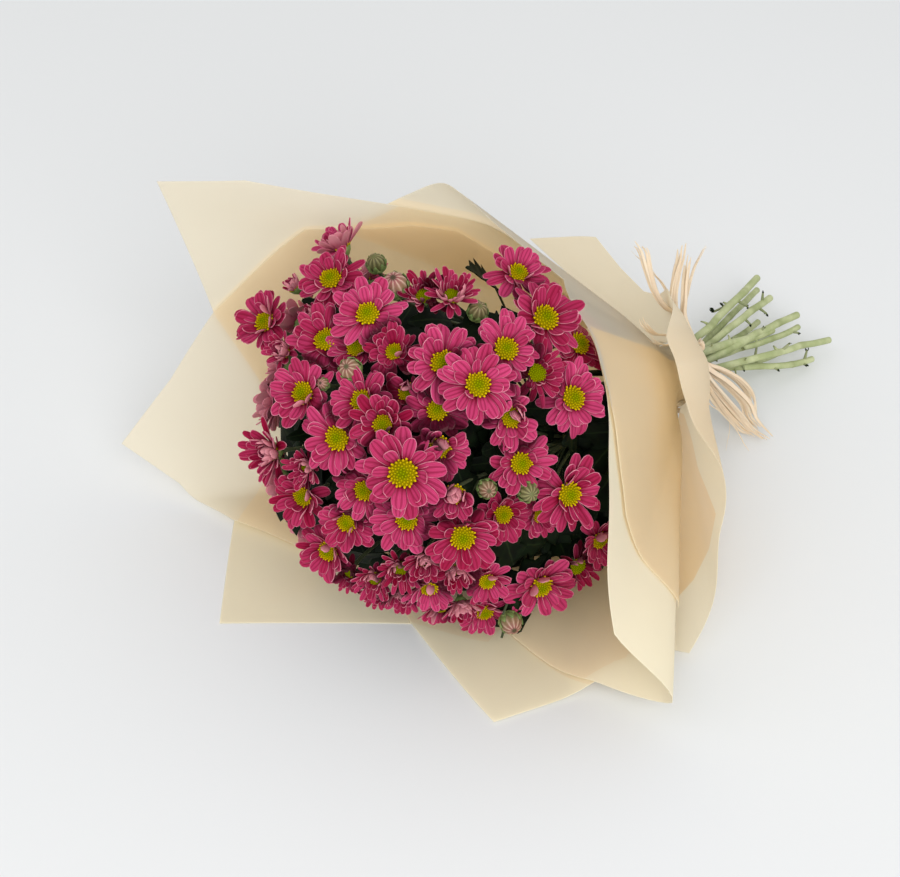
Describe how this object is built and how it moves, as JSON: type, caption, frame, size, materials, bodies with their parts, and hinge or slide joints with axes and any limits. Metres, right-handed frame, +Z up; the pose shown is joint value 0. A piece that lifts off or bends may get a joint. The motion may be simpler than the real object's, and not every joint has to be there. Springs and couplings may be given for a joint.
{
  "type": "bunch of daisies",
  "caption": "Bunch of pink daisy chrysanthemums on cut stems, wrapped in cream film and tied with raffia, lying on its side.",
  "frame": {"origin": "on the surface that the bunch lies on, under the middle of the flowers", "axes": "+X along the bunch towards the cut stem ends, +Z up, -Y the near side in the picture"},
  "size_m": [0.4894, 0.3746, 0.2242],
  "materials": {
    "wrapping_film": "matte",
    "stem_and_leaf": "matte",
    "flower": "matte",
    "raffia": "matte"
  },
  "bodies": {
    "root": {"wrap_back": "wrapping_film", "wrap_base": "wrapping_film", "wrap_front": "wrapping_film", "wrap_left": "wrapping_film", "wrap_outer": "wrapping_film", "wrap_side": "wrapping_film", "wrap_top": "wrapping_film", "stem_01": "stem_and_leaf", "stem_02": "stem_and_leaf", "stem_03": "stem_and_leaf", "stem_04": "stem_and_leaf", "stem_05": "stem_and_leaf", "stem_06": "stem_and_leaf", "stem_07": "stem_and_leaf", "stem_08": "stem_and_leaf", "stem_09": "stem_and_leaf", "stem_10": "stem_and_leaf", "bloom_01": "flower", "bloom_02": "flower", "bloom_03": "flower", "bloom_04": "flower", "bloom_05": "flower", "bloom_06": "flower", "bloom_07": "flower", "bloom_08": "flower", "bloom_09": "flower", "bloom_10": "flower", "bloom_11": "flower", "bloom_12": "flower", "bloom_13": "flower", "bloom_14": "flower", "bloom_15": "flower", "bloom_16": "flower", "bloom_17": "flower", "bloom_18": "flower", "bloom_19": "flower", "bloom_20": "flower", "bloom_21": "flower", "bloom_22": "flower", "bloom_23": "flower", "bloom_24": "flower", "bloom_25": "flower", "bloom_26": "flower", "bloom_27": "flower", "bloom_28": "flower", "bloom_29": "flower", "bloom_30": "flower", "bloom_31": "flower", "bloom_32": "flower", "bloom_33": "flower", "bloom_34": "flower", "bloom_35": "flower", "bloom_36": "flower", "bloom_37": "flower", "bloom_38": "flower", "bloom_39": "flower", "bloom_40": "flower", "bloom_41": "flower", "bloom_42": "flower", "tie": "raffia"}
  },
  "joints": []
}
